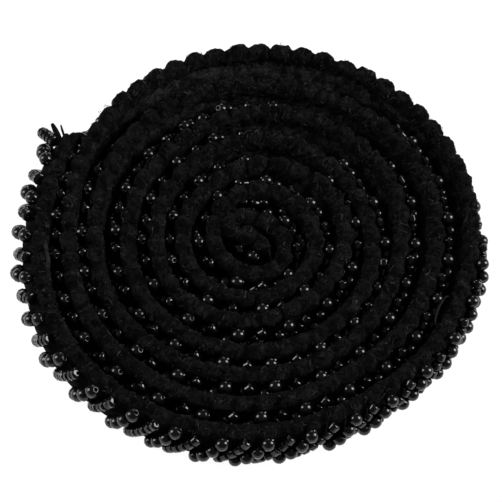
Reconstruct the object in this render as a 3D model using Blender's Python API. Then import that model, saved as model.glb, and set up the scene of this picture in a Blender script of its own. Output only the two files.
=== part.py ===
"""A roll of pearl trim: a narrow braid strip wound into a flat spiral and set down on its lower edge.

The strip carries slanting rows of sewn beads on its outer face. They are one ridged layer here, with
one ridge for each row. The roll rests on the plane z = 0, with +Z up and the viewer on the -Y side.
"""

import math

import bmesh
import bpy
import numpy as np

MM = 0.001

# The braid strip
STRIP_HEIGHT = 10.5 * MM
STRIP_THICKNESS = 2.4 * MM
SHOULDER_DROP = 1.3 * MM
TOP_SHARE = 0.58
SCALLOP_DEPTH = 0.7 * MM
SCALLOP_SWELL = 0.12 * MM
SCALLOP_LEAN = 0.4 * MM
STATIONS_PER_SCALLOP = 3

# The sewn rows of beads. Near the free end they hang looser, and the strip's start in the core is bare.
ROW_PITCH = 4.9 * MM
ROW_SLANT = math.radians(45)
PEARL_DIAMETER = 3.0 * MM
SEED_DIAMETER = 2.1 * MM
LOOSE_ROWS_LENGTH = 75.0 * MM
LOOSE_ROWS_LIFT = 1.8 * MM
BARE_START = 20.0 * MM
# The bead layer between two rows, and the least that it keeps where the next turn is close.
VALLEY_THICKNESS = 0.6 * MM
LEAST_THICKNESS = 0.35 * MM
# The layer's gaps to its own strip and to the next turn, and the length over which its back is straight.
SEWING_GAP = 0.32 * MM
NEIGHBOUR_GAP = 0.45 * MM
FACE_SPAN = 6.2 * MM

# How far along the strip the tops of some rows are. Rows past the last of them are ROW_PITCH apart.
ROW_PLACES = (
    # row, along
    (0, 3.0 * MM),
    (7, 36.5 * MM),
    (25, 121.0 * MM),
    (40, 194.0 * MM),
    (58, 287.0 * MM),
)

# The height above the ground at four places down a row, and how far the middle of a bead sits off the
# strip's face there, for rows that stand full and for rows that hang low against the strip.
ROW_PROFILE = (
    # height, bead_lift, low_height, low_lift
    (10.0 * MM, 0.7 * MM, 7.6 * MM, 0.2 * MM),
    (7.5 * MM, 2.3 * MM, 5.8 * MM, 1.3 * MM),
    (3.9 * MM, 2.4 * MM, 3.6 * MM, 1.5 * MM),
    (1.1 * MM, 0.8 * MM, 1.1 * MM, 0.8 * MM),
)

# The stretches of each turn where the rows hang low, in degrees from +X towards +Y. Over LOW_BLEND degrees
# at each end of a stretch they come up again.
LOW_ROWS = (
    # turn, from_angle, to_angle
    (1, 15.0, 165.0),
    (2, 58.0, 168.0),
    (3, 47.0, 103.0),
    (4, 64.0, 115.0),
    (5, 60.0, 115.0),
)
LOW_BLEND = 12.0

# The winding, seen from above. Angles are in degrees from +X towards +Y, radii in millimetres. It runs
# from the free end at the left round the front to the right and the back.
FREE_END = (
    # angle, radius
    (159.5, 47.8),
    (165.0, 47.6),
    (171.0, 46.9),
)
TURNS = (
    # left, front_left, front, front_right, right, back_right, back, back_left
    (46.6, 47.0, 44.9, 43.4, 47.8, 53.4, 52.8, 47.3),
    (40.9, 39.9, 38.4, 36.5, 39.9, 44.7, 43.1, 39.4),
    (35.1, 33.9, 31.6, 30.7, 32.1, 36.8, 36.0, 30.4),
    (27.6, 27.1, 25.9, 25.3, 26.7, 27.6, 28.4, 24.3),
    (21.4, 20.4, 18.7, 17.4, 19.5, 22.9, 21.4, 17.3),
    (15.5, 14.3, 12.9, 12.3, 13.7, 14.9, 14.7, 11.9),
)
# The last turn and the strip's start, which is doubled back on itself in a hairpin. Millimetres from
# the winding's centre.
CORE_FOLD = (
    # x, y
    (-8.2, -1.1),
    (-5.0, -4.5),
    (0.2, -6.5),
    (4.4, -5.3),
    (6.9, -2.6),
    (7.2, 1.0),
    (5.5, 4.6),
    (2.8, 6.5),
    (-1.9, 6.9),
    (-4.9, 6.2),
    (-5.9, 4.4),
    (-4.7, 2.8),
    (-1.5, 2.6),
    (1.5, 1.7),
    (3.3, -0.6),
)
FIRST_TURN_ANGLE = 180.0
ANGLE_PER_COLUMN = 45.0
PATH_STEP = 0.5 * MM
SMOOTHING_PASSES = 2
# Turns nearer than this along the strip aren't neighbours, and a neighbour is looked for in a lane
# this far to each side of straight out. The rows keep clear of the strip's line this far past its free end.
NEIGHBOUR_ALONG = 14 * MM
LANE_WIDTH = 1.0 * MM
CLEAR_BEFORE_END = 4.0 * MM
FAR = 1.0

YARN_BLACK = (0.016, 0.016, 0.018, 1.0)
BEAD_BLACK = (0.022, 0.022, 0.026, 1.0)


def clear_scene():
    for obj in list(bpy.data.objects):
        bpy.data.objects.remove(obj, do_unlink=True)


def smooth_through(places, knots, values):
    """The smooth curve through values at knots, read at places."""
    knots = np.asarray(knots, float)
    values = np.asarray(values, float)
    slopes = np.gradient(values, knots)
    left = np.clip(np.searchsorted(knots, places, side="right") - 1, 0, len(knots) - 2)
    span = knots[left + 1] - knots[left]
    t = (places - knots[left]) / span
    start = (2 * t**3 - 3 * t**2 + 1) * values[left]
    leave = (t**3 - 2 * t**2 + t) * span * slopes[left]
    end = (3 * t**2 - 2 * t**3) * values[left + 1]
    arrive = (t**3 - t**2) * span * slopes[left + 1]
    return start + leave + end + arrive


def lengths_along(points):
    steps = np.hypot(*np.diff(points, axis=0).T)
    return np.concatenate([[0.0], np.cumsum(steps)])


def winding_turns():
    """Close points of the round turns, in millimetres."""
    angles = [angle for angle, _ in FREE_END]
    radii = [radius for _, radius in FREE_END]
    for number, row in enumerate(TURNS):
        for column, radius in enumerate(row):
            angles.append(FIRST_TURN_ANGLE + ANGLE_PER_COLUMN * (number * len(row) + column))
            radii.append(radius)
    fine = np.arange(angles[0], angles[-1], 1.5)
    radius = smooth_through(fine, angles, radii)
    turn = np.radians(fine)
    return np.stack([radius * np.cos(turn), radius * np.sin(turn)], axis=1)


def winding_core(last_of_turns):
    """Close points of the core's fold, in millimetres."""
    knots = np.array([last_of_turns, *CORE_FOLD])
    along = lengths_along(knots)
    fine = np.arange(0.1, along[-1], 0.1)
    columns = [smooth_through(fine, along, knots[:, axis]) for axis in (0, 1)]
    return np.stack(columns, axis=1)


def centre_line():
    """Points along the middle of the strip, evenly spaced from its free end to its start."""
    turns = winding_turns()
    points = np.concatenate([turns, winding_core(turns[-1])]) * MM
    along = lengths_along(points)
    even = np.arange(0.0, along[-1], PATH_STEP)
    line = np.stack([np.interp(even, along, points[:, axis]) for axis in (0, 1)], axis=1)
    for _ in range(SMOOTHING_PASSES):
        middle = (line[:-2] + 2 * line[1:-1] + line[2:]) / 4
        line = np.concatenate([line[:1], middle, line[-1:]])
    return line


class Winding:
    """The strip's centre line, with the direction straight out from its beaded face."""

    def __init__(self, line):
        self.line = line
        self.along = lengths_along(line)
        self.length = self.along[-1]
        heading = np.gradient(line, axis=0)
        self.heading = heading / np.linalg.norm(heading, axis=1, keepdims=True)
        self.outward = np.stack([self.heading[:, 1], -self.heading[:, 0]], axis=1)
        turning = np.gradient(np.unwrap(np.arctan2(heading[:, 1], heading[:, 0])))
        self.curvature = turning / np.gradient(self.along)
        self.turned = np.degrees(np.unwrap(np.arctan2(line[:, 1], line[:, 0])))
        self.span_steps = int(FACE_SPAN / PATH_STEP)
        before = np.arange(-CLEAR_BEFORE_END, 0.0, PATH_STEP)
        self.kept_clear = np.concatenate([line[0] + before[:, None] * self.heading[0], line])
        self.clear_along = np.concatenate([before, self.along])

    def read(self, table, place):
        return np.array([np.interp(place, self.along, table[:, axis]) for axis in (0, 1)])

    def at(self, place, offset):
        """The point this far along the strip and this far out. Before the free end it goes straight on."""
        past_end = min(place, 0.0) * self.heading[0]
        return self.read(self.line, place) + past_end + offset * self.read(self.outward, place)

    def lowness(self, place):
        """One where the rows hang low, falling to nought at both ends of such a stretch."""
        turned = np.interp(place, self.along, self.turned)
        inside = [
            min(turned - from_angle - 360 * turn, to_angle + 360 * turn - turned)
            for turn, from_angle, to_angle in LOW_ROWS
        ]
        return min(1.0, max(0.0, max(inside) / LOW_BLEND))

    def bow(self, place):
        """How far the curved face stands out from a straight line of FACE_SPAN, near this place."""
        middle = int(np.searchsorted(self.along, place))
        near = self.curvature[max(0, middle - self.span_steps):middle + self.span_steps + 1]
        return max(0.0, near.max()) * FACE_SPAN**2 / 8

    def room_outside(self, place):
        """The distance straight out from the centre line to the next turn's centre line."""
        here = self.read(self.line, place)
        out = self.read(self.outward, place)
        away = self.kept_clear - here
        ahead = away @ out
        aside = np.abs(away[:, 0] * out[1] - away[:, 1] * out[0])
        other = np.abs(self.clear_along - place) > NEIGHBOUR_ALONG
        seen = ahead[other & (ahead > 0) & (aside < LANE_WIDTH)]
        return seen.min() if len(seen) else FAR


def row_place(number):
    """How far along the strip this row's top is. A half is halfway to the next row."""
    numbers, places = zip(*ROW_PLACES)
    outside = min(0.0, number - numbers[0]) + max(0.0, number - numbers[-1])
    return np.interp(number, numbers, places) + outside * ROW_PITCH


def row_number(place):
    """The row at this place along the strip, with its fraction between two rows."""
    numbers, places = zip(*ROW_PLACES)
    outside = min(0.0, place - places[0]) + max(0.0, place - places[-1])
    return np.interp(place, places, numbers) + outside / ROW_PITCH


def looseness(place):
    """One at the free end, falling to nought where the rows are held tight."""
    return max(0.0, 1 - max(place, 0.0) / LOOSE_ROWS_LENGTH)


def scallop(place):
    """One at the top of each row, where the upper edge stands highest, and nought halfway to the next."""
    return abs(math.cos(math.pi * row_number(place)))


def strip_section(winding, place):
    """The strip's outline at one place, from its inner lower corner round to its outer one."""
    swell = scallop(place)
    half = STRIP_THICKNESS / 2 + SCALLOP_SWELL * swell
    top = STRIP_HEIGHT - SCALLOP_DEPTH * (1 - swell)
    shoulder = STRIP_HEIGHT - SHOULDER_DROP
    lean = SCALLOP_LEAN * swell
    outline = (
        # offset, height
        (-half, 0.0),
        (-half, shoulder),
        (-half * TOP_SHARE + lean, top),
        (half * TOP_SHARE + lean, top),
        (half, shoulder),
        (half, 0.0),
    )
    return [(*winding.at(place, offset), height) for offset, height in outline]


def strip_sections(winding):
    """Sections in step with the scallops, and twice as close round the core's tight bends."""
    step = ROW_PITCH / STATIONS_PER_SCALLOP
    first = math.ceil(row_number(step / 2) * STATIONS_PER_SCALLOP)
    last = int(row_number(winding.length - BARE_START) * STATIONS_PER_SCALLOP)
    places = [row_place(third / STATIONS_PER_SCALLOP) for third in range(first, last + 1)]
    places += list(np.arange(places[-1] + step / 2, winding.length - step / 4, step / 2))
    places = [0.0, *places, winding.length]
    return [strip_section(winding, place) for place in places]


def row_station(winding, halves):
    """The bead layer's outline at a row's crest, or halfway between two rows for an odd count of halves."""
    on_row = halves % 2 == 0
    diameter = SEED_DIAMETER if halves % 4 == 0 else PEARL_DIAMETER
    top_place = row_place(halves / 2)
    flat_face = STRIP_THICKNESS / 2 + SCALLOP_SWELL + SEWING_GAP
    low = winding.lowness(top_place)
    outer = []
    inner = []
    for full_height, full_lift, low_height, low_lift in ROW_PROFILE:
        height = full_height + low * (low_height - full_height)
        lift = full_lift + low * (low_lift - full_lift)
        place = top_place - (ROW_PROFILE[0][0] - height) * math.tan(ROW_SLANT)
        loose_lift = looseness(place) * LOOSE_ROWS_LIFT * full_lift / ROW_PROFILE[1][1]
        face = flat_face + winding.bow(place)
        proud = lift + loose_lift + diameter / 2 if on_row else VALLEY_THICKNESS
        most = winding.room_outside(place) - STRIP_THICKNESS / 2 - SCALLOP_SWELL - NEIGHBOUR_GAP
        reach = max(face + LEAST_THICKNESS, min(face + proud, most))
        outer.append((*winding.at(place, reach), height))
        inner.append((*winding.at(place, face), height))
    return [*outer, *reversed(inner)]


def row_sections(winding):
    last = row_number(winding.length - BARE_START)
    return [row_station(winding, halves) for halves in range(int(2 * last))]


def material(name, colour, roughness):
    made = bpy.data.materials.new(name)
    made.use_nodes = True
    shader = made.node_tree.nodes["Principled BSDF"]
    shader.inputs["Base Color"].default_value = colour
    shader.inputs["Roughness"].default_value = roughness
    shader.inputs["Metallic"].default_value = 0.0
    return made


def swept_body(name, sections, surface, shift):
    """A closed body through the sections, each a ring of the same number of points."""
    mesh = bmesh.new()
    rings = []
    for section in sections:
        rings.append([mesh.verts.new((x - shift[0], y - shift[1], z)) for x, y, z in section])
    for ring, following in zip(rings, rings[1:]):
        for corner in range(len(ring)):
            beside = (corner + 1) % len(ring)
            mesh.faces.new((ring[corner], ring[beside], following[beside], following[corner]))
    mesh.faces.new(reversed(rings[0]))
    mesh.faces.new(rings[-1])
    bmesh.ops.recalc_face_normals(mesh, faces=mesh.faces)
    data = bpy.data.meshes.new(name)
    mesh.to_mesh(data)
    mesh.free()
    data.materials.append(surface)
    data.shade_smooth()
    body = bpy.data.objects.new(name, data)
    bpy.context.scene.collection.objects.link(body)
    return body


def middle_of(*groups):
    """The middle, seen from above, of the box round all these sections."""
    points = np.array([point for sections in groups for section in sections for point in section])
    return (points[:, :2].min(axis=0) + points[:, :2].max(axis=0)) / 2


def build():
    clear_scene()
    winding = Winding(centre_line())
    strip = strip_sections(winding)
    rows = row_sections(winding)
    shift = middle_of(strip, rows)
    swept_body("braid_strip", strip, material("black_yarn", YARN_BLACK, 0.85), shift)
    swept_body("bead_rows", rows, material("black_pearl", BEAD_BLACK, 0.22), shift)
    print("strip length mm", round(winding.length / MM, 1), "shift mm", shift / MM)


build()
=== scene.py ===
# %% [markdown]
# # A roll of black pearl trim
#
# A narrow braid strip, a little over a metre long, is wound into a flat spiral and set down on its edge.
# Slanting rows of black beads are sewn on its outer face, one row of round pearls and one row of short
# cut beads in turn. The upper edge is thick and looped, and each bead row starts from a small hump of it.
#
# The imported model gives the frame. It holds the strip as one plain wound solid and the beads as one ridged
# layer. The cells below dress both of them.

# %% Load the frame
import math

import bmesh
import bpy
import numpy as np
from mathutils import Matrix, Quaternion, Vector, noise


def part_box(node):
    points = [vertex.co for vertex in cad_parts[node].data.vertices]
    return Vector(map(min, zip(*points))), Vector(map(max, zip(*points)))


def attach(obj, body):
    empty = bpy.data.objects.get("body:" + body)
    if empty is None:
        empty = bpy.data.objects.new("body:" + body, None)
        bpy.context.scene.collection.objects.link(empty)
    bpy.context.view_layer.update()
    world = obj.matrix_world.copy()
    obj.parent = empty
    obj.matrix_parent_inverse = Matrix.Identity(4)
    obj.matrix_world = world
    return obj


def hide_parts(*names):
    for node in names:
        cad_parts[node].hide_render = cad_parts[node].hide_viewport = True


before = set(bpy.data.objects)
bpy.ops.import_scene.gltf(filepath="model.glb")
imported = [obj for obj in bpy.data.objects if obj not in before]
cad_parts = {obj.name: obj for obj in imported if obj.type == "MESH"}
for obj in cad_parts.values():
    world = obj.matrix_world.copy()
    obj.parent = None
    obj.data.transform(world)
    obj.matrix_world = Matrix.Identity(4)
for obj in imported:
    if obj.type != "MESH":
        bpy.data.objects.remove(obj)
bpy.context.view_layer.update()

MM = 0.001
print("the frame holds", sorted(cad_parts))

# %% [markdown]
# ## Where the strip runs
#
# The strip is wound by hand, so no turn is a true circle. A short table gives the radius of each turn every
# 45 degrees, and a second one gives the hairpin in the core. They are the same tables that the solids were
# made from. A smooth curve goes through them, and everything else is placed along it and straight out
# from it.

# %% Sizes of the strip and its winding
STRIP_THICKNESS = 2.4 * MM
STRIP_HEIGHT = 10.5 * MM
FREE_END = (
    # angle, radius
    (159.5, 47.8),
    (165.0, 47.6),
    (171.0, 46.9),
)
TURNS = (
    # left, front_left, front, front_right, right, back_right, back, back_left
    (46.6, 47.0, 44.9, 43.4, 47.8, 53.4, 52.8, 47.3),
    (40.9, 39.9, 38.4, 36.5, 39.9, 44.7, 43.1, 39.4),
    (35.1, 33.9, 31.6, 30.7, 32.1, 36.8, 36.0, 30.4),
    (27.6, 27.1, 25.9, 25.3, 26.7, 27.6, 28.4, 24.3),
    (21.4, 20.4, 18.7, 17.4, 19.5, 22.9, 21.4, 17.3),
    (15.5, 14.3, 12.9, 12.3, 13.7, 14.9, 14.7, 11.9),
)
CORE_FOLD = (
    # x, y
    (-8.2, -1.1),
    (-5.0, -4.5),
    (0.2, -6.5),
    (4.4, -5.3),
    (6.9, -2.6),
    (7.2, 1.0),
    (5.5, 4.6),
    (2.8, 6.5),
    (-1.9, 6.9),
    (-4.9, 6.2),
    (-5.9, 4.4),
    (-4.7, 2.8),
    (-1.5, 2.6),
    (1.5, 1.7),
    (3.3, -0.6),
)
FIRST_TURN_ANGLE = 180.0
ANGLE_PER_COLUMN = 45.0
# The curve is worked out closely first, in degrees on the turns and in millimetres on the fold.
TURN_STEP = 1.5
FOLD_STEP = 0.1
PATH_STEP = 0.5 * MM
SMOOTHING_PASSES = 2


def smooth_through(places, knots, values):
    """The smooth curve through values at knots, read at places."""
    knots = np.asarray(knots, float)
    values = np.asarray(values, float)
    slopes = np.gradient(values, knots)
    left = np.clip(np.searchsorted(knots, places, side="right") - 1, 0, len(knots) - 2)
    span = knots[left + 1] - knots[left]
    t = (places - knots[left]) / span
    start = (2 * t**3 - 3 * t**2 + 1) * values[left]
    leave = (t**3 - 2 * t**2 + t) * span * slopes[left]
    end = (3 * t**2 - 2 * t**3) * values[left + 1]
    arrive = (t**3 - t**2) * span * slopes[left + 1]
    return start + leave + end + arrive


def lengths_along(points):
    """How far along a line each of its points is."""
    steps = np.linalg.norm(np.diff(points, axis=0), axis=1)
    return np.concatenate([[0.0], np.cumsum(steps)])


def read_columns(places, knots, table):
    """Every column of a table whose rows stand at the knots, read at places."""
    return np.stack([np.interp(places, knots, column) for column in np.transpose(table)], axis=-1)


def winding_turns():
    """Points on the turns, in millimetres, from the free end inward."""
    angles, radii = (list(column) for column in zip(*FREE_END))
    for number, row in enumerate(TURNS):
        for column, radius in enumerate(row):
            angles.append(FIRST_TURN_ANGLE + ANGLE_PER_COLUMN * (number * len(row) + column))
            radii.append(radius)
    fine = np.arange(angles[0], angles[-1], TURN_STEP)
    radius = smooth_through(fine, angles, radii)
    turn = np.radians(fine)
    return np.stack([radius * np.cos(turn), radius * np.sin(turn)], axis=1)


def winding_core(last_of_turns):
    """Points on the fold in the middle, in millimetres, from where the turns end."""
    knots = np.array([last_of_turns, *CORE_FOLD])
    along = lengths_along(knots)
    fine = np.arange(FOLD_STEP, along[-1], FOLD_STEP)
    return np.stack([smooth_through(fine, along, knots[:, axis]) for axis in (0, 1)], axis=1)


def centre_line():
    """Points along the middle of the strip, evenly spaced from its free end to its start."""
    turns = winding_turns()
    points = np.concatenate([turns, winding_core(turns[-1])]) * MM
    along = lengths_along(points)
    line = read_columns(np.arange(0.0, along[-1], PATH_STEP), along, points)
    for _ in range(SMOOTHING_PASSES):
        middle = (line[:-2] + 2 * line[1:-1] + line[2:]) / 4
        line = np.concatenate([line[:1], middle, line[-1:]])
    return line


line = centre_line()
turned = np.degrees(np.unwrap(np.arctan2(line[:, 1], line[:, 0])))
along = lengths_along(line)
strip_length = along[-1]
heading = np.gradient(line, axis=0)
heading /= np.linalg.norm(heading, axis=1, keepdims=True)
outward = np.stack([heading[:, 1], -heading[:, 0]], axis=1)

# The solid of the strip says where the winding stands in the frame.
edges = np.concatenate([line + side * outward * STRIP_THICKNESS / 2 for side in (-1, 1)])
solid_low, solid_high = (np.array(corner)[:2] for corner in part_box("braid_strip"))
winding_middle = (solid_low + solid_high) / 2 - (edges.min(axis=0) + edges.max(axis=0)) / 2
line = line + winding_middle
print("the strip is", round(strip_length / MM), "mm long")

# %% [markdown]
# ## Places on the strip
#
# A place on the strip is given as a maker would give it: how far along from the free end, how far out from
# the middle of the strip, and how high. The rows of beads are counted from the free end too. Some
# stretches of the turns have rows that hang low against the strip, and near the free end they hang loose.
# Between two turns there is only so much room, so the gap outside each place is measured once and kept.

# %% Places and rows
ROW_PITCH = 4.9 * MM
ROW_PLACES = (
    # row, along
    (0, 3.0 * MM),
    (7, 36.5 * MM),
    (25, 121.0 * MM),
    (40, 194.0 * MM),
    (58, 287.0 * MM),
)
BARE_START = 13.0 * MM
LOOSE_LENGTH = 75.0 * MM
LOW_ROWS = (
    # turn, from_angle, to_angle
    (1, 15.0, 165.0),
    (2, 58.0, 168.0),
    (3, 47.0, 103.0),
    (4, 64.0, 115.0),
    (5, 60.0, 115.0),
)
LOW_BLEND = 12.0
NEIGHBOUR_ALONG = 14 * MM
LANE_WIDTH = 1.0 * MM
OPEN_GAP = 30 * MM


def on_strip(place, offset, height):
    """Points this far along the strip, out from its middle and up. Past the free end it goes straight on."""
    place, offset, height = np.broadcast_arrays(*(np.asarray(v, float) for v in (place, offset, height)))
    past_end = np.minimum(place, 0.0)[..., None] * heading[0]
    middle = read_columns(place, along, line) + past_end
    flat = middle + offset[..., None] * read_columns(place, along, outward)
    return np.concatenate([flat, height[..., None]], axis=-1)


def row_place(number):
    """How far along the strip this row's top is. A half is halfway to the next row."""
    numbers, places = zip(*ROW_PLACES)
    outside = np.minimum(0.0, number - numbers[0]) + np.maximum(0.0, number - numbers[-1])
    return np.interp(number, numbers, places) + outside * ROW_PITCH


def row_number(place):
    """The number of the row whose top is here, with a fraction between two rows."""
    numbers, places = zip(*ROW_PLACES)
    outside = np.minimum(0.0, place - places[0]) + np.maximum(0.0, place - places[-1])
    return np.interp(place, places, numbers) + outside / ROW_PITCH


def looseness(place):
    """One at the free end, falling to nought where the rows are held tight."""
    return np.clip(1 - np.maximum(place, 0.0) / LOOSE_LENGTH, 0.0, 1.0)


def lowness(place):
    """One where the rows hang low, falling to nought at both ends of such a stretch."""
    here = np.interp(place, along, turned)
    inside = [np.minimum(here - begin - 360 * turn, end + 360 * turn - here) for turn, begin, end in LOW_ROWS]
    return np.clip(np.max(inside, axis=0) / LOW_BLEND, 0.0, 1.0)


def free_gap(side):
    """The clear distance from the strip's face on this side to the next turn, for each point of the line."""
    gaps = []
    for here, out, place in zip(line, outward * side, along):
        away = line - here
        ahead = away @ out
        aside = np.abs(away[:, 0] * out[1] - away[:, 1] * out[0])
        seen = ahead[(np.abs(along - place) > NEIGHBOUR_ALONG) & (ahead > 0) & (aside < LANE_WIDTH)]
        gaps.append(seen.min() - STRIP_THICKNESS if len(seen) else OPEN_GAP)
    return np.array(gaps)


gap_outside = free_gap(1)
gap_inside = free_gap(-1)


def is_outermost(place):
    """True where no turn lies outside the strip."""
    return np.interp(place, along, gap_outside) > 0.5 * OPEN_GAP


row_count = int(row_number(strip_length - BARE_START))
print(row_count, "rows of beads; the tightest gap is", round(gap_outside.min() / MM, 1), "mm")

# %% [markdown]
# ## Objects and nodes
#
# Materials and bead copies are made of nodes, which these functions add, fill in and link.

# %% Helpers


def add_object(name, data):
    """A new object with this data, in the scene."""
    made = bpy.data.objects.new(name, data)
    bpy.context.scene.collection.objects.link(made)
    return made


def set_sockets(node, values):
    """Puts constant values on a node's own sockets."""
    for socket, value in values.items():
        node.inputs[socket].default_value = value


def add_node(tree, kind, values=None, operation=None):
    """A new node with these values on its sockets and, where it calculates, this operation."""
    node = tree.nodes.new(kind)
    if operation:
        node.operation = operation
    set_sockets(node, values or {})
    return node


def new_material(name, values):
    """A new material and its shader, which has these values on its sockets."""
    made = bpy.data.materials.new(name)
    made.use_nodes = True
    shader = made.node_tree.nodes["Principled BSDF"]
    set_sockets(shader, values)
    return made, shader


def join(tree, *wires):
    """Links sockets. Each wire is a node and its output, and then a node and its input."""
    for node, output, other, socket in wires:
        tree.links.new(node.outputs[output], other.inputs[socket])


print("helpers are ready")

# %% [markdown]
# ## Camera, light and table
#
# The photograph looks down on the roll from about 61 degrees, with the camera turned a little about its own
# axis. The beads show how it was lit: each has a broad bright spot at its right and at its left, the right
# one brighter, and a small one above them. So there is one tall soft lamp at each side and a small one
# behind, over a plain pale table.

# %% Camera, lights and floor
CAMERA_AIM = Vector((0.02, 0.975, 5.25)) * MM + Vector((*winding_middle, 0.0))
CAMERA_ELEVATION = math.radians(61)
CAMERA_ROLL = math.radians(12)
CAMERA_DISTANCE = 410 * MM
CAMERA_LENS = 131.2
LAMPS = (
    # name, direction, distance, size, watts
    ("lamp_right", (0.78, 0.16, 0.60), 0.8, (0.34, 0.52), 7.5),
    ("lamp_left", (-0.88, -0.15, 0.42), 0.8, (0.34, 0.52), 5.0),
    ("lamp_behind", (-0.14, 0.85, 0.47), 0.9, (0.26, 0.26), 0.9),
)
ROOM_LIGHT = 0.12
# The table top is dark and glows round the roll, painted light that keeps shadows off it. Under the
# roll it does not glow, so where the table shows between the turns it is dark: painted shade.
GLOW = 0.97
GLOW_FROM = 45.5 * MM
GLOW_FULL = 48.5 * MM
# It glows beside the torn end too, painted light where a sliver of it can show.
SLIVER = (-43.0 * MM, 16.0 * MM, 0.0)
SLIVER_FULL = 2.0 * MM
SLIVER_UNTIL = 3.0 * MM


def add_camera():
    camera = add_object("camera", bpy.data.cameras.new("camera"))
    camera.data.lens = CAMERA_LENS
    camera.data.clip_start = 0.01
    tilt = Matrix.Rotation(math.pi / 2 - CAMERA_ELEVATION, 4, "X")
    roll = Matrix.Rotation(CAMERA_ROLL, 4, "Z")
    back_off = Matrix.Translation((0.0, 0.0, CAMERA_DISTANCE))
    camera.matrix_world = Matrix.Translation(CAMERA_AIM) @ tilt @ roll @ back_off
    bpy.context.scene.camera = camera


def add_lamp(name, direction, distance, size, watts):
    """A soft oblong lamp that faces the roll from this direction."""
    toward = Vector(direction).normalized()
    lamp = bpy.data.lights.new(name, "AREA")
    lamp.shape = "RECTANGLE"
    lamp.size, lamp.size_y = size
    lamp.energy = watts
    holder = add_object(name, lamp)
    holder.location = toward * distance
    holder.rotation_euler = toward.to_track_quat("Z", "Y").to_euler()


def add_table():
    """A dark table top that glows round the roll, painted light; under the roll it stays dark, painted shade.
    """
    bpy.ops.mesh.primitive_plane_add(size=4.0, location=(0.0, 0.0, 0.0))
    table = bpy.context.active_object
    table.name = "floor"
    plain = {"Base Color": (0.08, 0.08, 0.08, 1.0), "Roughness": 0.9, "Specular IOR Level": 0.05}
    pale, shader = new_material("glowing_table", {**plain, "Emission Strength": GLOW})
    tree = pale.node_tree
    spot = add_node(tree, "ShaderNodeTexCoord")
    reach = add_node(tree, "ShaderNodeVectorMath", operation="LENGTH")
    # The glow is nought under the roll and full just outside it, and a spot of it glows beside the torn end.
    fade = add_node(tree, "ShaderNodeMapRange", {"From Min": GLOW_FROM, "From Max": GLOW_FULL})
    near = add_node(tree, "ShaderNodeVectorMath", {1: SLIVER}, "DISTANCE")
    sliver = add_node(tree, "ShaderNodeMapRange", {"From Min": SLIVER_UNTIL, "From Max": SLIVER_FULL})
    either = add_node(tree, "ShaderNodeMath", operation="MAXIMUM")
    join(
        tree,
        (spot, "Object", reach, 0),
        (spot, "Object", near, 0),
        (reach, "Value", fade, "Value"),
        (near, "Value", sliver, "Value"),
        (fade, "Result", either, 0),
        (sliver, "Result", either, 1),
        (either, "Value", shader, "Emission Color"),
    )
    table.data.materials.append(pale)
    return table


add_camera()
for lamp in LAMPS:
    add_lamp(*lamp)

world = bpy.data.worlds.new("room")
world.use_nodes = True
set_sockets(world.node_tree.nodes["Background"], {"Color": (1.0, 1.0, 1.0, 1.0), "Strength": ROOM_LIGHT})
bpy.context.scene.world = world
bpy.context.scene.view_settings.view_transform = "Standard"

floor = add_table()
print("camera and", len(LAMPS), "lamps are set")

# %% [markdown]
# ## Finishes
#
# The strip, its looped edge and the loose fibres are all of one soft black yarn, so what makes it look
# fuzzy is a node group that each material uses with its own numbers. It gives a mottled colour and a fine
# bumpy height. Some numbers paint light and shade into the yarn: the inner face of the strip is lighter, as
# painted light where it lies in shade, the outer side of the looped edge is darker, as painted shade, and the
# loose fibres are lighter, as painted sheen. The pearls and the cut beads are black and glossy: a very dark
# colour and a smooth surface, so that what shows is the light that they reflect.

# %% Materials
YARNS = (
    # name, dark, light, grain, bump, sheen
    ("ground_yarn", (0.001, 0.001, 0.0011), (0.02, 0.02, 0.0203), 1200.0, 0.7, 0.005),
    # The inner face of the ground is lighter than the rest of it: painted light where it lies in shade.
    ("inner_yarn_painted_light", (0.003, 0.003, 0.0031), (0.05, 0.05, 0.051), 1000.0, 0.7, 0.005),
    ("edge_yarn", (0.0003, 0.0003, 0.0005), (0.022, 0.022, 0.0223), 1000.0, 1.0, 0.005),
    # The outer side of the edge is darker than the rest of it: painted shade.
    ("outer_yarn_painted_shade", (0.0003, 0.0003, 0.0004), (0.011, 0.011, 0.0112), 1000.0, 1.0, 0.005),
    ("pale_yarn", (0.008, 0.008, 0.0082), (0.03, 0.03, 0.0305), 900.0, 0.5, 0.01),
    # The loose fibres are lighter than the yarn they come from: painted sheen.
    ("fibre_yarn_painted_sheen", (0.015, 0.015, 0.0152), (0.115, 0.115, 0.1165), 700.0, 0.2, 0.01),
)
BUMP_DEPTH = 0.7 * MM
GLOSSES = (
    # name, colour, roughness
    ("pearl_gloss", (0.003, 0.003, 0.0034), 0.15),
    ("cut_glass", (0.0025, 0.0025, 0.0028), 0.075),
)
SMOOTHEST = 0.6
ROUGHEST = 1.6
FUZZ_SOCKETS = (
    # name, side, kind
    ("Position", "INPUT", "Vector"),
    ("Grain", "INPUT", "Float"),
    ("Dark", "INPUT", "Color"),
    ("Light", "INPUT", "Color"),
    ("Color", "OUTPUT", "Color"),
    ("Height", "OUTPUT", "Float"),
)


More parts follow.
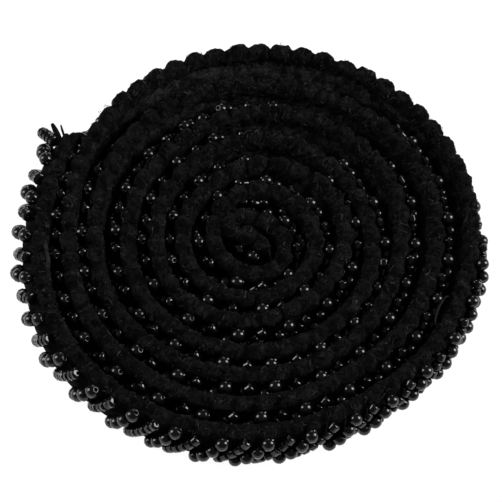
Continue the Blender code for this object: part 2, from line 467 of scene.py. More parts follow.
def fuzz_group():
    """A node group that gives a mottled dark colour and a fine height, from a position and a grain size."""
    group = bpy.data.node_groups.new("yarn_fuzz", "ShaderNodeTree")
    for name, side, kind in FUZZ_SOCKETS:
        group.interface.new_socket(name, in_out=side, socket_type="NodeSocket" + kind)
    given = add_node(group, "NodeGroupInput")
    result = add_node(group, "NodeGroupOutput")

    # A noise and one of a third its grain add up to the height.
    mottle = add_node(group, "ShaderNodeTexNoise", {"Detail": 4.0, "Roughness": 0.7, "Distortion": 0.8})
    finer = add_node(group, "ShaderNodeMath", {1: 3.0}, "MULTIPLY")
    fibre = add_node(group, "ShaderNodeTexNoise", {"Detail": 2.0, "Distortion": 1.5})
    height = add_node(group, "ShaderNodeMath", operation="ADD")
    join(
        group,
        (given, "Position", mottle, "Vector"),
        (given, "Grain", mottle, "Scale"),
        (given, "Grain", finer, 0),
        (given, "Position", fibre, "Vector"),
        (finer, 0, fibre, "Scale"),
        (mottle, "Fac", height, 0),
        (fibre, "Fac", height, 1),
        (height, 0, result, "Height"),
    )

    # Half of it says how light the yarn is. The mix has its colours on inputs 6 and 7, and on output 2.
    halved = add_node(group, "ShaderNodeMath", {1: 0.5}, "MULTIPLY")
    spread = add_node(group, "ShaderNodeMapRange", {"From Min": 0.43, "From Max": 0.70})
    blend = add_node(group, "ShaderNodeMix")
    blend.data_type = "RGBA"
    join(
        group,
        (height, 0, halved, 0),
        (halved, 0, spread, "Value"),
        (spread, "Result", blend, "Factor"),
        (given, "Dark", blend, 6),
        (given, "Light", blend, 7),
    )

    # A coarser noise darkens and lightens that colour in patches.
    coarser = add_node(group, "ShaderNodeMath", {1: 0.42}, "MULTIPLY")
    patches = add_node(group, "ShaderNodeTexNoise", {"Detail": 2.0, "Distortion": 0.6})
    shade = add_node(group, "ShaderNodeMapRange", {"From Min": 0.36, "From Max": 0.66})
    set_sockets(shade, {"To Min": 0.25, "To Max": 1.5})
    shaded = add_node(group, "ShaderNodeVectorMath", operation="SCALE")
    join(
        group,
        (given, "Position", patches, "Vector"),
        (given, "Grain", coarser, 0),
        (coarser, 0, patches, "Scale"),
        (patches, "Fac", shade, "Value"),
        (blend, 2, shaded, 0),
        (shade, "Result", shaded, "Scale"),
        (shaded, "Vector", result, "Color"),
    )
    return group


yarn_fuzz = fuzz_group()


def yarn_material(name, dark, light, grain, bump, sheen):
    dull = {"Roughness": 0.95, "Specular IOR Level": 0.04, "Sheen Weight": sheen}
    made, shader = new_material(name, dull)
    tree = made.node_tree
    place = add_node(tree, "ShaderNodeTexCoord")
    fuzz = tree.nodes.new("ShaderNodeGroup")
    fuzz.node_tree = yarn_fuzz
    set_sockets(fuzz, {"Grain": grain, "Dark": (*dark, 1.0), "Light": (*light, 1.0)})
    raised = add_node(tree, "ShaderNodeBump", {"Strength": bump, "Distance": BUMP_DEPTH})
    join(
        tree,
        (place, "Object", fuzz, "Position"),
        (fuzz, "Color", shader, "Base Color"),
        (fuzz, "Height", raised, "Height"),
        (raised, "Normal", shader, "Normal"),
    )
    return made


def gloss_material(name, colour, roughness):
    """Glossy black, smoother in some spots than in others, so that no two beads match."""
    made, shader = new_material(name, {"Base Color": (*colour, 1.0), "IOR": 1.43})
    tree = made.node_tree
    place = add_node(tree, "ShaderNodeTexCoord")
    smear = add_node(tree, "ShaderNodeTexNoise", {"Scale": 700.0, "Detail": 2.0})
    ends = {"To Min": roughness * SMOOTHEST, "To Max": roughness * ROUGHEST}
    spread = add_node(tree, "ShaderNodeMapRange", ends)
    join(
        tree,
        (place, "Object", smear, "Vector"),
        (smear, "Fac", spread, "Value"),
        (spread, "Result", shader, "Roughness"),
    )
    return made


ground_yarn, inner_yarn_painted_light, edge_yarn, outer_yarn_painted_shade, pale_yarn, fibre_yarn_painted_sheen = (yarn_material(*row) for row in YARNS)
pearl_gloss, cut_glass = (gloss_material(*row) for row in GLOSSES)
print("finishes:", [made.name for made in bpy.data.materials])

# %% [markdown]
# ## The woven strip
#
# The ground of the trim is one long narrow strip. It could be simulated as cloth wound round a core, but a
# wound strip has no slack to settle, so it is swept along the measured line instead: one ring of points for
# each short step. A little noise along the way out of each face keeps it from looking cast.

# %% The strip
END_LENGTH = 0.2 * MM
GROUND_STEP = 0.7 * MM
INNER_HALF = (
    # offset, height, relief
    (-0.7, 0.0, 0.0),
    (-1.02, 0.4, 0.2),
    (-1.05, 1.3, 1.0),
    (-1.05, 2.4, 1.0),
    (-1.05, 3.5, 1.0),
    (-1.05, 4.6, 1.0),
    (-1.05, 5.8, 1.0),
    (-1.05, 7.2, 1.0),
    (-1.0, 8.6, 0.5),
    (-0.5, 9.3, 0.2),
)
GROUND_PROFILE = (*INNER_HALF, *((-offset, *rest) for offset, *rest in INNER_HALF[::-1]))
# The first faces of each ring, up the inner face, get the lighter yarn: painted light in the shade between
# turns.
INNER_FACES = 8
# Where the gap inside is wide, the lower part of the inner face spreads into it, but less so in the core.
SPREAD_BELOW = 8.5 * MM
SPREAD_BLEND = 4.5 * MM
SPREAD_SHARE = 0.62
SPREAD_SPARES = 2.2 * MM
MOST_SPREAD = 2.6 * MM
CORE_FROM = 1050 * MM
CORE_SPREAD = 0.5 * MM
# On the outermost turn, where nothing presses on the rows, the lower part of the outer face bulges out to
# them, most near the free end, where they hang loose. The gain keeps it full there for a while.
BULGE_BELOW = 7.8 * MM
BULGE_BLEND = 3.0 * MM
OUTER_BULGE = 1.4 * MM
LOOSE_BULGE = 1.6 * MM
LOOSE_GAIN = 1.4
GROUND_ROUGH = (
    # grain, depth
    (2.4 * MM, 0.40 * MM),
    (1.2 * MM, 0.24 * MM),
)


def ways_out(profile):
    """For each point of a closed outline, the direction straight out of it."""
    points = np.array([(offset, height) for offset, height, *_ in profile])
    ahead = np.roll(points, -1, axis=0) - np.roll(points, 1, axis=0)
    ahead /= np.linalg.norm(ahead, axis=1, keepdims=True)
    return np.stack([-ahead[:, 1], ahead[:, 0]], axis=1)


def roughness(points, layers):
    """Uneven heights for points in space, as a sum of layers of noise."""
    flat = points.reshape(-1, 3)
    total = np.zeros(len(flat))
    for grain, depth in layers:
        total += depth * np.array([noise.noise(Vector(point) / grain) for point in flat])
    return total.reshape(points.shape[:-1])


def rough_rings(places, offset, height, out, relief, layers):
    """Rings of points along the strip, each point pushed out of its outline by noise."""
    smooth = on_strip(places[:, None], offset, height)
    push = roughness(smooth, layers) * relief
    return on_strip(places[:, None], offset + push * out[:, 0], np.maximum(height + push * out[:, 1], 0.0))


def strip_ground():
    """The rings of the woven ground, wider at the foot where there is room."""
    places = np.arange(-END_LENGTH, strip_length, GROUND_STEP)
    offset, height, relief = (np.array(column) for column in zip(*GROUND_PROFILE))
    gap = np.interp(places, along, gap_inside)
    most = np.where(places < CORE_FROM, MOST_SPREAD, CORE_SPREAD)
    spread = np.clip(SPREAD_SHARE * (gap - SPREAD_SPARES), 0.0, most)
    low = np.clip((SPREAD_BELOW - height * MM) / SPREAD_BLEND, 0.0, 1.0) * (offset < 0)
    loose = np.clip((BULGE_BELOW - height * MM) / BULGE_BLEND, 0.0, 1.0) * (offset > 0)
    bulge = OUTER_BULGE * is_outermost(places)
    bulge = bulge + LOOSE_BULGE * np.minimum(LOOSE_GAIN * looseness(places), 1.0)
    offset = offset * MM - spread[:, None] * low + bulge[:, None] * loose
    return rough_rings(places, offset, height * MM, ways_out(GROUND_PROFILE), relief, GROUND_ROUGH)


def sweep(name, rings, surface, first_surface, first_faces):
    """A closed body through rings that have the same number of points. The first few faces of each ring have
    a surface of their own."""
    count, size = rings.shape[:2]
    ring, corner = np.meshgrid(np.arange(count - 1), np.arange(size), indexing="ij")
    beside = (corner + 1) % size
    following = (ring + 1) * size
    quads = np.stack(
        [ring * size + corner, following + corner, following + beside, ring * size + beside],
        axis=-1,
    ).reshape(-1, 4)
    ends = [list(range(size)), list(range((count - 1) * size, count * size))[::-1]]
    data = bpy.data.meshes.new(name)
    data.from_pydata(rings.reshape(-1, 3).tolist(), [], [*quads.tolist(), *ends])
    data.materials.append(surface)
    data.materials.append(first_surface)
    chosen = np.zeros(len(data.polygons), int)
    chosen[: len(quads)] = corner.ravel() < first_faces
    data.polygons.foreach_set("material_index", chosen)
    data.shade_smooth()
    piece = add_object(name, data)
    face_outwards(piece)
    return piece


def face_outwards(piece):
    mesh = bmesh.new()
    mesh.from_mesh(piece.data)
    bmesh.ops.recalc_face_normals(mesh, faces=mesh.faces)
    mesh.to_mesh(piece.data)
    mesh.free()


def triangles(piece):
    return sum(len(polygon.vertices) - 2 for polygon in piece.data.polygons)


braid = sweep("braid", strip_ground(), ground_yarn, inner_yarn_painted_light, INNER_FACES)
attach(braid, "root")
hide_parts("braid_strip")
print("braid:", triangles(braid), "triangles")

# %% [markdown]
# ## The looped edge
#
# A thick soft yarn is worked over the upper edge and down the inner face. It bulges to a rounded hump where
# each bead row starts, and the humps run slantwise over the edge, as the rows do. The yarn has felted, so no
# single strand shows much. It is swept like the ground, with closer rings and stronger noise.

# %% The edge
EDGE_STEP = 0.42 * MM
EDGE_AROUND = 32
# The yarn reaches a little past the ground at both ends.
PAST_FREE_END = 0.1 * MM
PAST_MIDDLE = 0.3 * MM
# The last faces of each ring are on the outer side, under the humps and beside the beads, and their yarn is
# darker: painted shade.
LIT_FACES = 25
EDGE_PROFILE = (
    # offset, height, hump, relief
    (-0.85, 3.0, 0.0, 0.0),
    (-1.24, 4.0, 0.0, 0.8),
    (-1.45, 5.2, 0.1, 1.0),
    (-1.6, 6.4, 0.2, 1.0),
    (-1.75, 7.4, 0.5, 1.0),
    (-1.8, 8.3, 0.7, 1.0),
    (-1.62, 9.0, 0.8, 1.0),
    (-1.15, 9.5, 0.9, 1.0),
    (-0.55, 9.72, 1.0, 1.0),
    (0.0, 9.78, 1.0, 1.0),
    (0.55, 9.72, 1.0, 1.0),
    (1.05, 9.45, 0.9, 1.0),
    (1.5, 8.95, 0.8, 1.0),
    (1.64, 8.3, 0.7, 1.0),
    (1.48, 7.6, 0.4, 0.9),
    (1.0, 6.9, 0.0, 0.2),
)
EDGE_ROUGH = (
    # grain, depth
    (2.2 * MM, 0.30 * MM),
    (1.15 * MM, 0.45 * MM),
    (0.6 * MM, 0.24 * MM),
)
HUMP_HALF_WIDTH = 2.2 * MM
HUMP_RISE = 1.2 * MM
HUMP_LEAN = 0.55 * MM
HUMP_SWELL = 0.2 * MM
HUMP_SLANT = 0.25
# At the back the humps are crisp and half round, in front they are flatter and run into one another. How far
# back a place is goes from -1 in front to 1 at the back.
HALF_ROUND = 0.5
FLATTER = 0.65
LOWER = 0.15
CRISP_AT = 0.6
FLAT_AT = 0.1
# Where the first turn runs into the second, they stand up more.
BOLD_HUMPS = (
    # place, size
    (255 * MM, 1.0),
    (295 * MM, 1.3),
    (335 * MM, 1.3),
    (350 * MM, 1.0),
)
MOST_HUMPS = 400
HUMP_SIZES = (0.84, 1.1)
HUMP_SHIFT = 0.14 * MM
uneven = np.random.default_rng(3)
hump_sizes = uneven.uniform(*HUMP_SIZES, MOST_HUMPS)
hump_shifts = uneven.normal(0.0, HUMP_SHIFT, MOST_HUMPS)
# The same outline with its points evenly spaced.
stops = lengths_along(np.array(EDGE_PROFILE)[:, :2])
edge_profile = read_columns(np.linspace(0.0, stops[-1], EDGE_AROUND), stops, EDGE_PROFILE)
edge_out = ways_out(edge_profile)


def flatness(place):
    """One in front and at the sides of the roll, falling to nought at its back."""
    away = line - winding_middle
    back = np.interp(place, along, away[:, 1] / np.linalg.norm(away, axis=1))
    return np.clip((CRISP_AT - back) / (CRISP_AT - FLAT_AT), 0.0, 1.0)


def hump(place, offset):
    """One on the top of a full hump at each row, falling to nought at its foot."""
    across = place + HUMP_SLANT * offset
    number = np.round(row_number(across)).astype(int)
    nearest = row_place(number) + hump_shifts[number]
    share = np.clip(np.abs(across - nearest) / HUMP_HALF_WIDTH, 0.0, 1.0)
    flat = flatness(place)
    return (1.0 - share**2) ** (HALF_ROUND + FLATTER * flat) * hump_sizes[number] * (1.0 - LOWER * flat)


def edge_outline(places):
    """The offsets and heights of the edge's outline at these places, with the humps."""
    offset, height, share, _ = edge_profile.T
    lift = hump(places[:, None], offset[None, :] * MM) * share
    lift = lift * np.interp(places, *zip(*BOLD_HUMPS))[:, None]
    swell = HUMP_LEAN + HUMP_SWELL * np.sign(offset)
    return offset * MM + lift * swell, height * MM + lift * HUMP_RISE


def strip_edge():
    places = np.arange(-END_LENGTH - PAST_FREE_END, strip_length + PAST_MIDDLE, EDGE_STEP)
    offset, height = edge_outline(places)
    return rough_rings(places, offset, height, edge_out, edge_profile[:, 3], EDGE_ROUGH)


edge = sweep("looped_edge", strip_edge(), outer_yarn_painted_shade, edge_yarn, LIT_FACES)
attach(edge, "root")
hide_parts("braid_strip")
print("looped edge:", triangles(edge), "triangles")

# %% [markdown]
# ## Loose fibres and loops
#
# Soft yarn sheds short fibres, and here and there a whole strand of it stands clear in a loop. A tube along
# a curve is the natural way to make a thread, so each is a short spline with a round bevel, and all of them
# are made into one mesh. Where each fibre lies comes from seeded random numbers.

# %% Fibres on the edge
FIBRE_COUNT = 6600
FIBRE_POINTS = 4
FIBRE_RADIUS = 0.036 * MM
THINNEST, THICKEST = 0.6, 1.4
# Sizes along the edge's outline are in millimetres, as in its table.
FIBRE_LENGTH = 0.45
LONGER = 0.45
FIBRE_SLANT = 0.6
SLANT_SPREAD = 0.9
FIBRE_BEND = 0.35
OUTLINE_MARGIN = 0.3
# Fibres start in this part of the outline, which leaves out its two feet.
FIRST_START, LAST_START = 0.05, 0.88
# How far off the outline a fibre's ends are, and how much further its middle is.
CLEAR = 0.05
CLEARER = 0.14
edge_lengths = lengths_along(edge_profile[:, :2])
scatter = np.random.default_rng(7)


def select_only(piece):
    bpy.ops.object.select_all(action="DESELECT")
    piece.select_set(True)
    bpy.context.view_layer.objects.active = piece


def tubes(name, paths, radii, surface, bevel_steps=0):
    """Many round threads as one mesh. Each path is a row of points."""
    threads = bpy.data.curves.new(name, "CURVE")
    threads.dimensions = "3D"
    threads.bevel_depth = 1.0
    threads.bevel_resolution = bevel_steps
    threads.use_fill_caps = True
    for path, radius in zip(paths, radii):
        spline = threads.splines.new("POLY")
        spline.points.add(len(path) - 1)
        spline.points.foreach_set("co", np.column_stack([path, np.ones(len(path))]).ravel())
        spline.points.foreach_set("radius", np.broadcast_to(radius, len(path)).astype(float))
    threads.materials.append(surface)
    piece = add_object(name, threads)
    select_only(piece)
    bpy.ops.object.convert(target="MESH")
    bpy.ops.object.shade_smooth()
    return bpy.context.active_object


def fibre():
    """One fibre that lies along the edge's outline, a little off it in the middle."""
    start = scatter.uniform(FIRST_START, LAST_START) * edge_lengths[-1]
    slant = scatter.normal(FIBRE_SLANT, SLANT_SPREAD)
    length = FIBRE_LENGTH + scatter.exponential(LONGER)
    t = np.linspace(0.0, 1.0, FIBRE_POINTS)
    arch = np.sin(math.pi * t)
    round_it = start + length * math.sin(slant) * (t - 0.5) + scatter.normal(0.0, FIBRE_BEND) * arch
    round_it = np.clip(round_it, OUTLINE_MARGIN, edge_lengths[-1] - OUTLINE_MARGIN)
    places = scatter.uniform(0.0, strip_length) - length * math.cos(slant) * (t - 0.5) * MM
    near = np.clip(np.searchsorted(edge_lengths, round_it) - 1, 0, EDGE_AROUND - 2)
    part = (round_it - edge_lengths[near]) / (edge_lengths[near + 1] - edge_lengths[near])
    own = np.arange(FIBRE_POINTS)
    offset, height = (
        values[own, near] + part * (values[own, near + 1] - values[own, near])
        for values in edge_outline(places)
    )
    clear = (CLEAR + scatter.exponential(CLEARER) * arch) * MM
    return on_strip(places, offset + clear * edge_out[near, 0], height + clear * edge_out[near, 1])


fibre_paths = [fibre() for _ in range(FIBRE_COUNT)]
fibre_radii = FIBRE_RADIUS * scatter.uniform(THINNEST, THICKEST, FIBRE_COUNT)
# The fibres' lighter colour is painted sheen.
edge_fibres = tubes("edge_fibres", fibre_paths, fibre_radii, fibre_yarn_painted_sheen)
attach(edge_fibres, "root")
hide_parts("braid_strip")
print("edge fibres:", len(fibre_paths), "fibres,", triangles(edge_fibres), "triangles")

# %% [markdown]
# ## Torn end and loose strands
#
# At the free end the cut strip has come apart into a few thick yarns and one thin end of thread. Here and
# there along the edge a strand has pulled out into a small loop, and in the middle, where the strip is
# doubled back, loose strands cross the fold. They are tubes too, from a table of the points each one passes.

# %% Strands
TORN_YARN = (
    # strand, along, out, height, radius
    ("thick", 2.2, 1.4, 8.4, 0.6),
    ("thick", 0.6, 3.0, 9.0, 0.66),
    ("thick", -0.7, 4.8, 9.3, 0.64),
    ("thick", -1.7, 6.2, 9.3, 0.42),
    ("thin", 0.8, 1.2, 8.8, 0.3),
    ("thin", -0.5, 2.4, 9.3, 0.28),
    ("thin", -1.5, 3.5, 9.6, 0.26),
    ("thin", -2.3, 4.3, 9.7, 0.16),
    ("torn 1", 2.0, 1.0, 8.7, 0.9),
    ("torn 1", 0.0, 1.7, 9.1, 0.9),
    ("torn 1", -1.2, 2.0, 9.1, 0.5),
    ("torn 2", 2.0, 0.3, 8.9, 0.95),
    ("torn 2", -0.6, 0.7, 9.2, 0.95),
    ("torn 2", -2.2, 0.6, 9.2, 0.55),
    ("torn 3", 1.6, -0.6, 8.9, 0.9),
    ("torn 3", -1.0, -0.2, 9.3, 0.8),
    ("torn 3", -2.5, -0.4, 9.4, 0.55),
    ("torn 4", -1.9, 0.2, 9.4, 0.6),
    ("torn 4", -2.5, -1.0, 9.6, 0.62),
    ("torn 4", -1.9, -2.1, 9.6, 0.58),
    ("torn 4", -0.7, -2.7, 9.3, 0.45),
    ("torn 5", 1.0, 0.6, 6.8, 0.9),
    ("torn 5", -0.9, 0.8, 6.9, 0.75),
    ("torn 5", -1.7, 0.9, 6.6, 0.35),
    ("torn 6", 1.0, 0.2, 4.4, 0.85),
    ("torn 6", -0.8, 0.3, 4.2, 0.65),
    ("torn 6", -1.6, 0.6, 3.5, 0.3),
    ("torn 7", 1.0, 0.2, 2.0, 0.8),
    ("torn 7", -0.7, 0.3, 1.7, 0.6),
    ("torn 7", -1.3, 0.5, 1.1, 0.3),
    ("loop 1", 114.8, -1.7, 10.2, 0.18),
    ("loop 1", 114.4, 0.4, 10.9, 0.2),
    ("loop 1", 113.6, 2.2, 9.9, 0.2),
    ("loop 1", 113.0, 3.2, 8.6, 0.16),
    ("loop 2", 118.6, 0.2, 10.7, 0.18),
    ("loop 2", 117.8, 2.2, 10.3, 0.2),
    ("loop 2", 117.1, 3.6, 9.2, 0.2),
    ("loop 2", 116.9, 4.3, 8.0, 0.14),
    ("loop 3", 123.2, 2.0, 10.0, 0.16),
    ("loop 3", 122.4, 3.3, 9.7, 0.18),
    ("loop 3", 121.9, 4.5, 8.6, 0.14),
)
LOOSE_STRANDS = (
    # strand, along, out, height, radius
    ("loop", 157.8, -2.6, 9.0, 0.16),
    ("loop", 156.4, -3.2, 10.0, 0.2),
    ("loop", 153.0, -3.4, 10.3, 0.22),
    ("loop", 150.2, -2.8, 9.8, 0.2),
    ("loop", 149.4, -2.0, 8.9, 0.16),
    ("ribbon", 26.6, -0.8, 10.0, 0.3),
    ("ribbon", 28.6, -1.1, 10.3, 0.45),
    ("ribbon", 32.5, -1.5, 10.2, 0.5),
    ("ribbon", 35.4, -1.0, 10.3, 0.42),
    ("ribbon", 37.0, -0.6, 10.0, 0.28),
)
TORN_IN_CORE = (
    # strand, right, back, height, radius
    ("oval", -3.5, 3.0, 8.9, 0.7),
    ("oval", -1.6, 4.0, 9.6, 0.85),
    ("oval", 0.5, 3.4, 9.0, 0.6),
)
LOOSE_IN_CORE = (
    # strand, right, back, height, radius
    ("frayed", 1.2, 3.4, 8.6, 0.2),
    ("frayed", 2.6, 2.2, 9.8, 0.28),
    ("frayed", 3.6, 0.2, 9.9, 0.26),
    ("frayed", 4.7, -2.0, 8.8, 0.14),
)
STRAND_STEPS = 7


def strands(table, to_space):
    """The smooth paths and radii of the strands in a table."""
    paths, radii = [], []
    for name in dict.fromkeys(row[0] for row in table):
        first, second, height, radius = np.array([row[1:] for row in table if row[0] == name]).T * MM
        knots = np.arange(len(first))
        steps = np.linspace(0.0, knots[-1], STRAND_STEPS * len(first))
        first, second, height, radius = (
            smooth_through(steps, knots, values) for values in (first, second, height, radius)
        )
        paths.append(to_space(first, second, height))
        radii.append(radius)
    return paths, radii


def in_core(right, back, height):
    """A point this far right of the roll's middle, toward its back and up."""
    return np.stack([right + winding_middle[0], back + winding_middle[1], height], axis=-1)


for name, table, core_table, finish in (
    ("torn_yarn", TORN_YARN, TORN_IN_CORE, edge_yarn),
    ("loose_strands", LOOSE_STRANDS, LOOSE_IN_CORE, pale_yarn),
):
    paths, radii = strands(table, on_strip)
    core_paths, core_radii = strands(core_table, in_core)
    piece = tubes(name, paths + core_paths, radii + core_radii, finish, bevel_steps=2)
    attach(piece, "root")
    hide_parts("braid_strip")
    print(name + ":", len(paths + core_paths), "strands,", triangles(piece), "triangles")

# %% [markdown]
# ## The beads
#
# There are two kinds. A pearl is a glossy ball with a bore, and a cut bead is a short tube with softened
# ends. Each is modelled once, by hand, with few faces, because it is repeated hundreds of times. A mesh of
# single points then says where every bead sits, how it is turned and how big it is, and Geometry Nodes put
# a copy on each point.

# %% Model one pearl and one cut bead
PEARL_DIAMETER = 3.1 * MM
CUT_DIAMETER = 2.35 * MM
CUT_LENGTH = 1.8 * MM
CUT_CHAMFER = 0.28 * MM
CUT_MARGIN = 0.07 * MM
BORE_DIAMETER = 0.8 * MM
PEARL_RINGS = 7
PEARL_RIM = 0.1 * MM
PEARL_BORE_DEPTH = 0.7 * MM
CUT_BORE_DEPTH = 0.6 * MM
# Faces of an end look straight up or down, and those of a pearl's caps nearly so.
UPRIGHT = 0.9
CAP_UPRIGHT = 0.93


def select_faces(piece, wanted):
    """In edit mode, selects the faces for which wanted(face) is true."""
    mesh = bmesh.from_edit_mesh(piece.data)
    for part in (*mesh.verts, *mesh.edges):
        part.select = False
    for face in mesh.faces:
        face.select = bool(wanted(face))
    bmesh.update_edit_mesh(piece.data)


def extrude_down(distance):
    """In edit mode, extrudes the selected end down, or up for a negative distance."""
    bpy.ops.mesh.extrude_region_move(TRANSFORM_OT_translate={"value": (0.0, 0.0, -distance)})


def model_pearl():
    bpy.ops.object.select_all(action="DESELECT")
    bpy.ops.mesh.primitive_uv_sphere_add(segments=12, ring_count=PEARL_RINGS, radius=PEARL_DIAMETER / 2)
    pearl = bpy.context.active_object
    pearl.name = "one_pearl"
    bpy.ops.object.mode_set(mode="EDIT")
    bpy.ops.mesh.select_mode(type="FACE")
    select_faces(pearl, lambda face: abs(face.normal.z) > CAP_UPRIGHT)
    bpy.ops.mesh.dissolve_faces()
    ring_radius = PEARL_DIAMETER / 2 * math.sin(math.pi / PEARL_RINGS)
    for up in (1, -1):
        select_faces(pearl, lambda face: len(face.verts) > 4 and face.normal.z * up > UPRIGHT)
        bpy.ops.mesh.inset(thickness=ring_radius - BORE_DIAMETER / 2, depth=PEARL_RIM)
        extrude_down(up * PEARL_BORE_DEPTH)
    bpy.ops.object.mode_set(mode="OBJECT")
    bpy.ops.object.shade_smooth()
    pearl.data.materials.append(pearl_gloss)
    return pearl


def model_cut_bead():
    bpy.ops.object.select_all(action="DESELECT")
    plain_length = CUT_LENGTH - 2 * (CUT_CHAMFER + CUT_MARGIN)
    bpy.ops.mesh.primitive_cylinder_add(vertices=10, radius=CUT_DIAMETER / 2, depth=plain_length)
    bead = bpy.context.active_object
    bead.name = "one_cut_bead"
    bpy.ops.object.mode_set(mode="EDIT")
    bpy.ops.mesh.select_mode(type="FACE")
    for up in (1, -1):
        select_faces(bead, lambda face: face.normal.z * up > UPRIGHT)
        # A narrow band beside the chamfer keeps the shading of the side flat, while the end looks rounded.
        extrude_down(-up * CUT_MARGIN)
        bpy.ops.mesh.inset(thickness=CUT_CHAMFER, depth=CUT_CHAMFER)
        bpy.ops.mesh.inset(thickness=CUT_DIAMETER / 2 - CUT_CHAMFER - BORE_DIAMETER / 2, depth=CUT_MARGIN)
        extrude_down(up * CUT_BORE_DEPTH)
    bpy.ops.object.mode_set(mode="OBJECT")
    bpy.ops.object.shade_smooth_by_angle(angle=math.radians(50))
    bead.data.materials.append(cut_glass)
    return bead


one_pearl = model_pearl()
one_cut_bead = model_cut_bead()
print("one pearl has", len(one_pearl.data.polygons), "faces, one cut bead", len(one_cut_bead.data.polygons))

# %% [markdown]
# ## Where the beads sit
#
# A row is a thread of beads that starts under the hump of the upper edge, arches out from the strip's face
# and ends near the lower edge, drifting toward the free end as it goes down. The first rows hang looser, and
# the very first is flung out past the strip's end. Where the rows hang low, the top of the row is bare
# thread. The next turn presses the arch flat where it is close, and where it is far the lower beads hang out
# toward it. Beads are threaded from the top, each one its own length further along the thread. The first
# rows are sewn from another batch of beads, and the next batch comes in little by little.

# %% Thread the rows
ROW_SLANT = math.radians(43)
ROW_TOP = 9.1 * MM
INNER_ROW_TOP = 8.4 * MM
LOW_ROW_TOP = 5.0 * MM
LOOSE_FALL = 3.0 * MM
LOOSE_DRIFT = 0.6
SINK = 0.3 * MM
HANG_BELOW = 6.0 * MM
HANG_BLEND = 3.0 * MM
MOST_HANG = 0.9 * MM
ARCH = (
    # height, pearl_out, cut_out, loose_pearl_out, loose_cut_out, low_pearl_out, low_cut_out
    (9.6, 1.6, 1.4, 2.0, 1.9, 1.35, 1.2),
    (9.0, 1.8, 1.5, 2.4, 2.3, 1.35, 1.2),
    (7.2, 2.5, 2.0, 4.3, 4.0, 1.35, 1.2),
    (4.6, 2.8, 2.3, 4.8, 4.4, 1.5, 1.3),
    (2.2, 2.4, 2.0, 4.8, 4.3, 1.6, 1.3),
    (1.0, 2.0, 1.6, 4.4, 3.9, 1.5, 1.2),
)
# At the front left the rows hang a little steeper.
STEEPER = (
    # place, share taken off the slant
    (30 * MM, 0.0),
    (45 * MM, 0.26),
    (90 * MM, 0.26),
    (110 * MM, 0.0),
)
# The first row of all is flung out.
END_FLARE = 4.2 * MM
END_FLARE_UNTIL = 7.0 * MM
END_FLARE_FALL = 2.2 * MM
# The beads of the first batch are wider, and the cut ones shorter.
FIRST_BATCH_UNTIL = 62 * MM
NEXT_BATCH_FROM = 98 * MM
CUT_SPACING = 1.2 * CUT_LENGTH
KINDS = (
    # diameter, spacing, foot, wider in the first batch, shorter in the first batch, is_pearl
    (CUT_DIAMETER, CUT_SPACING, 1.5 * MM, 0.19, 0.42, False),
    (PEARL_DIAMETER, PEARL_DIAMETER, 1.6 * MM, 0.05, 0.0, True),
)
# In the fold of the middle a few beads lie loose.
CORE_BEADS = (
    # kind, right, back, height
    ("pearl", 0.7, -1.7, 8.0),
    ("pearl", 1.9, 11.1, 6.0),
    ("pearl", 5.4, 12.2, 6.0),
    ("pearl", 5.9, 8.8, 6.0),
    ("pearl", 8.2, 8.9, 6.0),
    ("pearl", 10.3, 5.9, 6.0),
    ("pearl", 11.2, 4.8, 6.0),
    ("cut", -1.5, 1.2, 8.0),
    ("cut", -2.7, -0.4, 7.5),
    ("cut", -5.9, 3.6, 6.0),
    ("cut", -4.0, 11.4, 8.0),
    ("cut", -1.4, 12.0, 8.0),
    ("cut", 0.6, 12.3, 8.0),
)
# Sewn by hand, no two rows start, rise, slant and stand off alike.
PLACE_WANDER = 0.2 * MM
TOP_WANDER = 0.2 * MM
SLANT_WANDER = 0.04
OUT_WANDER = 0.1 * MM
THREAD_POINTS = 60
THREAD_EVERY = 6
# The last bead of a row may pass the thread's end by this share of its length.
LAST_OVERHANG = 0.3
# A thread's two ends go into the strip, past its first and last bead.
ROOT_END = (0.6 * MM, -0.3 * MM, 0.4 * MM)
FOOT_END = (-0.4 * MM, -0.4 * MM, -0.7 * MM)


def arch_out(height, place, is_pearl):
    """How far a bead's middle stands off the strip's face at this height."""
    table = np.array(ARCH[::-1])
    full, loose, low = (
        np.interp(height / MM, table[:, 0], table[:, column + (not is_pearl)]) for column in (1, 3, 5)
    )
    out = full + looseness(place) * (loose - full)
    return (out + lowness(place) * (low - out)) * MM


def row_path(number, diameter, foot_height, is_pearl):
    """The place of a row's top, and how the thread through the beads runs along, out and up from there."""
    place = row_place(number) + scatter.normal(0.0, PLACE_WANDER)
    top = ROW_TOP if is_outermost(place) else INNER_ROW_TOP
    top = top + lowness(place) * (LOW_ROW_TOP - top) + scatter.normal(0.0, TOP_WANDER)
    height = np.linspace(top, foot_height, THREAD_POINTS)
    fall = STRIP_HEIGHT - height
    steep = np.minimum(fall, LOOSE_FALL) + LOOSE_DRIFT * np.maximum(fall - LOOSE_FALL, 0.0)
    fall = fall + looseness(place) * (steep - fall)
    slant = ROW_SLANT * (1 - np.interp(place, *zip(*STEEPER))) + scatter.normal(0.0, SLANT_WANDER)
    drift = place - fall * math.tan(slant)
    out = arch_out(height, place, is_pearl) + scatter.normal(0.0, OUT_WANDER)
    flare = END_FLARE * max(1 - place / END_FLARE_UNTIL, 0.0)
    out = out + flare * np.clip((ROW_TOP - height) / END_FLARE_FALL, 0.0, 1.0)
    gap = np.interp(drift, along, gap_outside)
    hang = np.clip((HANG_BELOW - height) / HANG_BLEND, 0.0, 1.0) * ~is_outermost(drift)
    out = out + hang * np.clip(gap - diameter / 2 - out, 0.0, MOST_HANG)
    out = np.minimum(out, np.maximum(gap - diameter / 2 + SINK, gap / 2))
    return place, drift, out, height


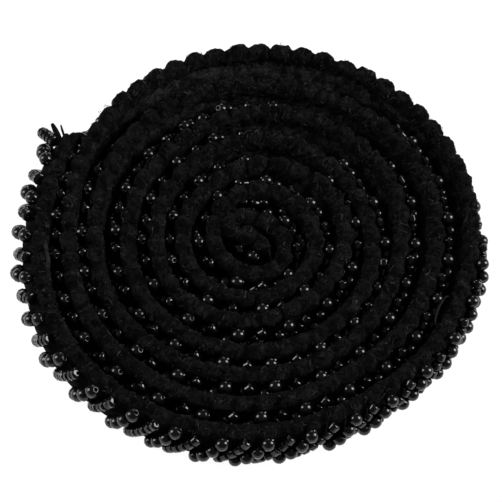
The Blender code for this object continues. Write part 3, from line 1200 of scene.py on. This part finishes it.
def bead_row(number, diameter, spacing, foot_height, wider, shorter, is_pearl):
    """The middle, bore direction and size of each bead in one row, and the thread's points."""
    place, drift, out, height = row_path(number, diameter, foot_height, is_pearl)
    thread = on_strip(drift, out + STRIP_THICKNESS / 2, height)
    first_batch = np.interp(place, (FIRST_BATCH_UNTIL, NEXT_BATCH_FROM), (1.0, 0.0))
    across = 1 + wider * first_batch
    lengthways = 1 - shorter * first_batch
    step = spacing * lengthways
    length = lengths_along(thread)
    count = int((length[-1] + LAST_OVERHANG * step) / step) + 1
    stops = np.minimum(np.arange(count) * step, length[-1])
    middles = read_columns(stops, length, thread)
    ways = read_columns(stops, length, np.gradient(thread, axis=0))
    beads = [(middle, way, (across, across, lengthways)) for middle, way in zip(middles, ways)]
    root, foot = (
        on_strip(drift[end] + by, STRIP_THICKNESS / 2 + inward, height[end] + up)
        for end, (by, inward, up) in ((0, ROOT_END), (-1, FOOT_END))
    )
    return beads, np.concatenate([root[None], thread[::THREAD_EVERY], thread[-1:], foot[None]])


pearls, cut_beads, threads = [], [], []
for number in range(row_count):
    beads, thread = bead_row(number, *KINDS[number % 2])
    (cut_beads, pearls)[number % 2].extend(beads)
    threads.append(thread)
for kind, right, back, height in CORE_BEADS:
    middle = in_core(right * MM, back * MM, height * MM)
    (pearls if kind == "pearl" else cut_beads).append((middle, scatter.normal(0.0, 1.0, 3), (1.0, 1.0, 1.0)))
print(len(pearls), "pearls and", len(cut_beads), "cut beads on", len(threads), "threads")

# %% Put a bead on every place
PEARL_WOBBLE = 0.12
CUT_WOBBLE = 0.11
SMALLEST, LARGEST = 0.96, 1.03


def named_vector(tree, name):
    """The vector that each point carries under this name."""
    read = add_node(tree, "GeometryNodeInputNamedAttribute", {"Name": name})
    read.data_type = "FLOAT_VECTOR"
    return read


def copies_tree(name, bead):
    """Nodes that put a copy of the bead on each point, turned and sized as the point says."""
    tree = bpy.data.node_groups.new(name, "GeometryNodeTree")
    for side in ("INPUT", "OUTPUT"):
        tree.interface.new_socket("Geometry", in_out=side, socket_type="NodeSocketGeometry")
    given = add_node(tree, "NodeGroupInput")
    result = add_node(tree, "NodeGroupOutput")
    model = add_node(tree, "GeometryNodeObjectInfo", {"Object": bead})
    turn, size = named_vector(tree, "turn"), named_vector(tree, "bead_size")
    copies = add_node(tree, "GeometryNodeInstanceOnPoints")
    real = add_node(tree, "GeometryNodeRealizeInstances")
    join(
        tree,
        (given, 0, copies, "Points"),
        (model, "Geometry", copies, "Instance"),
        (turn, "Attribute", copies, "Rotation"),
        (size, "Attribute", copies, "Scale"),
        (copies, "Instances", real, "Geometry"),
        (real, "Geometry", result, 0),
    )
    return tree


def copy_to_places(name, bead, spots, wobble):
    """One mesh with a copy of the bead at each spot, its bore along the thread."""
    data = bpy.data.meshes.new(name)
    data.from_pydata([tuple(middle) for middle, _, _ in spots], [], [])
    turns, sizes = [], []
    for _, way, size in spots:
        direction = (Vector(way).normalized() + Vector(scatter.normal(0.0, wobble, 3))).normalized()
        spin = Quaternion((0.0, 0.0, 1.0), scatter.uniform(0.0, 2 * math.pi))
        turns.extend((direction.to_track_quat("Z", "Y") @ spin).to_euler())
        sizes.extend(np.array(size) * scatter.uniform(SMALLEST, LARGEST))
    data.attributes.new("turn", "FLOAT_VECTOR", "POINT").data.foreach_set("vector", turns)
    data.attributes.new("bead_size", "FLOAT_VECTOR", "POINT").data.foreach_set("vector", sizes)
    piece = add_object(name, data)
    piece.modifiers.new("copies", "NODES").node_group = copies_tree(name + "_copies", bead)
    select_only(piece)
    bpy.ops.object.modifier_apply(modifier="copies")
    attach(piece, "root")
    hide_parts("bead_rows")
    return piece


pearl_rows = copy_to_places("pearl_rows", one_pearl, pearls, PEARL_WOBBLE)
cut_rows = copy_to_places("cut_bead_rows", one_cut_bead, cut_beads, CUT_WOBBLE)
for model in (one_pearl, one_cut_bead):
    bpy.data.objects.remove(model)
print("pearl rows:", triangles(pearl_rows), "triangles; cut bead rows:", triangles(cut_rows))

# %% [markdown]
# ## Sewing thread
#
# Every row hangs on one thread, which comes out of the strip under the hump, runs through the bores and
# goes back in near the lower edge. It shows as a thin dark line where two beads part.

# %% The threads
THREAD_RADIUS = 0.16 * MM
sewing_thread = tubes("sewing_thread", threads, [THREAD_RADIUS] * len(threads), edge_yarn)
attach(sewing_thread, "root")
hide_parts("bead_rows")
print("sewing thread:", triangles(sewing_thread), "triangles")
